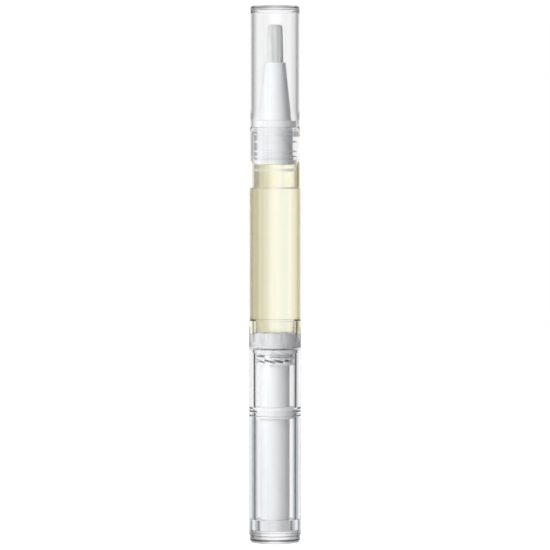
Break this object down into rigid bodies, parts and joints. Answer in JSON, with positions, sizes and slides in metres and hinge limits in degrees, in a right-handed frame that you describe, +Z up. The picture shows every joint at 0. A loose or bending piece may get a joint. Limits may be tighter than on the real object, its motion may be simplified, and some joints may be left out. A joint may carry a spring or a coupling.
{
  "type": "nail oil pen",
  "caption": "Clear twist-up pen for nail oil: a knob screws a piston up the oil-filled barrel to feed a bristle brush under a clear cap.",
  "frame": {"origin": "centre of the pen's base, on the surface that it stands on", "axes": "+Z up along the pen's axis, from the end plug to the cap; +X to the right and +Y away as the picture shows it"},
  "size_m": [0.013, 0.013, 0.135],
  "materials": {
    "clear_shell": "clear polished polystyrene",
    "white_moulding": "satin white polypropylene",
    "natural_moulding": "translucent natural polypropylene",
    "nail_oil": "clear pale yellow liquid",
    "bristle": "fine white nylon filament"
  },
  "bodies": {
    "holder": {"lower_tube": "clear_shell", "nut_insert": "natural_moulding", "barrel": "clear_shell", "oil": "nail_oil", "nozzle": "white_moulding", "feed_tube": "natural_moulding", "brush": "bristle"},
    "cap": {"cap": "clear_shell"},
    "knob": {"knob": "clear_shell", "drive_sleeve": "white_moulding", "end_plug": "clear_shell"},
    "click_ring": {"click_ring": "natural_moulding"},
    "piston": {"piston": "natural_moulding"},
    "spindle": {"spindle": "white_moulding"}
  },
  "joints": [
    {"name": "cap_pull", "type": "slide", "parent": "holder", "child": "cap", "axis": [0, 0, 1], "range_m": [0, 0.05]},
    {"name": "knob_turn", "type": "hinge", "parent": "holder", "child": "knob", "pos_m": [0, 0, 0.0321], "axis": [0, 0, 1], "range_deg": [0, 7200]},
    {"name": "click_lift", "type": "slide", "parent": "holder", "child": "click_ring", "axis": [0, 0, 1], "range_m": [-0.0005, 0]},
    {"name": "piston_travel", "type": "slide", "parent": "holder", "child": "piston", "axis": [0, 0, 1], "range_m": [0, 0.04], "deforming": ["oil"]},
    {"name": "spindle_turn", "type": "hinge", "parent": "piston", "child": "spindle", "pos_m": [0, 0, 0.0505], "axis": [0, 0, 1], "range_deg": [0, 7200]}
  ],
  "couplings": [
    {"joint": "piston_travel", "follows": "knob_turn", "m_per_rad": 0.0003183},
    {"joint": "spindle_turn", "follows": "knob_turn", "ratio": 1}
  ]
}
